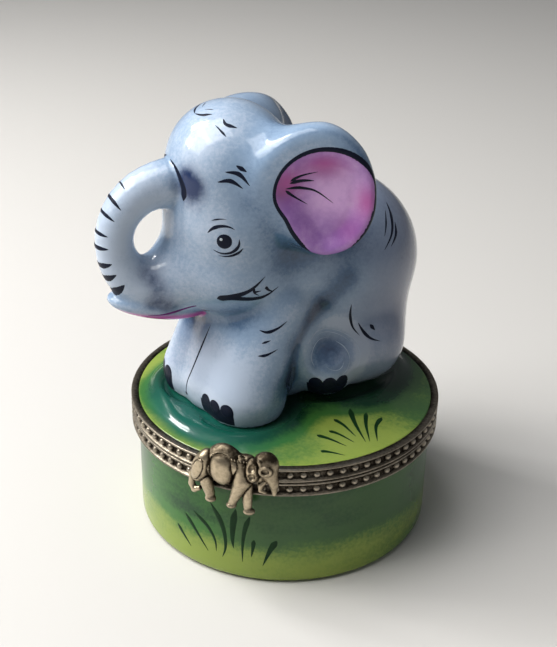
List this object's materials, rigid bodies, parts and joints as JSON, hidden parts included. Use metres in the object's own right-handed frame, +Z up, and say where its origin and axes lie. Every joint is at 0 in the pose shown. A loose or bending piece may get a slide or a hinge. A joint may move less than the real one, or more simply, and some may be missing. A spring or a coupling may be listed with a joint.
{
  "type": "hinged porcelain trinket box",
  "caption": "Round hinged porcelain trinket box with beaded metal bezels, an elephant clasp and a seated elephant with a curled-up trunk on the lid.",
  "frame": {"origin": "centre of the flat underside of the bowl", "axes": "+Z up, clasp at -Y, hinge at +Y, +X to the right when facing the clasp"},
  "size_m": [0.062, 0.0687, 0.0865],
  "materials": {
    "bowl_porcelain": "gloss glaze over brushed green, from dark green to yellow-green",
    "lid_porcelain": "gloss glaze over brushed green with teal round the feet",
    "elephant_porcelain": "gloss glaze, pale blue-grey with hand-painted dark strokes and pink ears",
    "antique_brass": "antiqued, dark in the recesses",
    "pin_brass": "worn bright on the high spots",
    "charm_brass": "cast relief, antiqued grey-brown"
  },
  "bodies": {
    "base": {"base_bowl": "bowl_porcelain", "base_bezel": "antique_brass", "base_hinge_leaf": "antique_brass", "hinge_pin": "pin_brass", "catch_ball": "pin_brass"},
    "lid": {"lid_plate": "lid_porcelain", "elephant_figure": "elephant_porcelain", "lid_bezel": "antique_brass", "lid_hinge_leaf": "antique_brass", "clasp_charm": "charm_brass"}
  },
  "joints": [
    {"name": "lid_hinge", "type": "hinge", "parent": "base", "child": "lid", "pos_m": [0, 0.0329, 0.024], "axis": [-1, 0, 0], "range_deg": [0, 95]}
  ]
}
